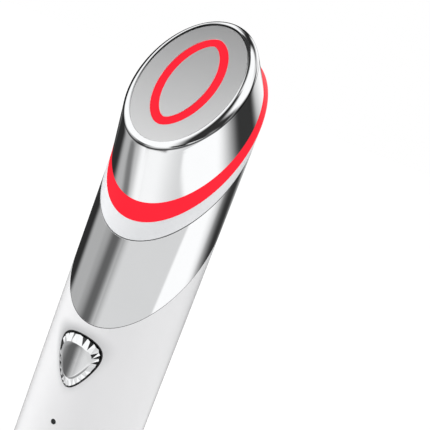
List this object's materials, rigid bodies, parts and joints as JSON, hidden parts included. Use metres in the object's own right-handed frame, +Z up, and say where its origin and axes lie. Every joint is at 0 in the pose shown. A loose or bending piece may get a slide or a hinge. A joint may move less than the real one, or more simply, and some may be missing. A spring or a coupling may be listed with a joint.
{
  "type": "microcurrent facial device",
  "caption": "Slim upright facial wand with a slanted oval metal contact head, a lit ring and band, a faceted press button and a fluted foot.",
  "frame": {"origin": "centre of the flat foot, on the barrel's axis", "axes": "+Z up along the barrel, -Y towards the button side, +X to the right as the button faces you"},
  "size_m": [0.028, 0.0322, 0.166],
  "materials": {
    "white_shell": "smooth gloss",
    "pale_band": "smooth gloss",
    "mirror_metal": "mirror polish",
    "satin_metal": "satin",
    "light_red": "lit from inside",
    "jet_plastic": "matt",
    "lens_dark": "smoked",
    "seal_rubber": "matt",
    "inner_plastic": "matt",
    "board_green": "solder mask",
    "gold_spring": "plated",
    "screw_steel": "plain",
    "light_chip": "matt",
    "cell_blue": "shrink sleeve",
    "lead_red": "matt",
    "lead_grey": "matt",
    "dense_metal": "sintered"
  },
  "bodies": {
    "housing": {"body_shell": "white_shell", "end_cap": "white_shell", "cap_seal": "seal_rubber", "contact_sleeve": "mirror_metal", "pale_band": "pale_band", "light_band": "light_red", "head_shell": "mirror_metal", "face_plate": "satin_metal", "face_light_ring": "light_red", "centre_plate": "satin_metal", "face_backplate": "inner_plastic", "head_carrier": "inner_plastic", "head_board": "board_green", "face_leds": "light_chip", "band_leds": "light_chip", "plate_contacts": "gold_spring", "head_screws": "screw_steel", "head_leads": "lead_grey", "button_liner": "jet_plastic", "status_lens": "lens_dark", "level_lenses": "lens_dark", "inner_frame": "inner_plastic", "main_board": "board_green", "board_chips": "jet_plastic", "board_screws": "screw_steel", "switch_body": "jet_plastic", "indicator_leds": "light_chip", "usb_socket": "screw_steel", "usb_tongue": "jet_plastic", "battery_cell": "cell_blue", "battery_tabs": "screw_steel", "battery_leads": "lead_red", "motor_can": "screw_steel", "motor_boots": "seal_rubber", "motor_leads": "lead_red", "sleeve_contact": "gold_spring"},
    "button": {"button_cap": "mirror_metal"},
    "plunger": {"switch_plunger": "inner_plastic"},
    "rotor": {"motor_weight": "dense_metal"}
  },
  "joints": [
    {"name": "button_press", "type": "slide", "parent": "housing", "child": "button", "axis": [0, 1, 0], "range_m": [0, 0.0005], "stiffness_N_per_m": 2500, "springref_m": -0.0003},
    {"name": "plunger_press", "type": "slide", "parent": "housing", "child": "plunger", "axis": [0, 1, 0], "range_m": [0, 0.0005]},
    {"name": "rotor_spin", "type": "hinge", "parent": "housing", "child": "rotor", "pos_m": [0, 0.0026, 0.09], "axis": [0, 0, 1], "continuous": true}
  ],
  "couplings": [
    {"joint": "plunger_press", "follows": "button_press", "ratio": 1}
  ]
}
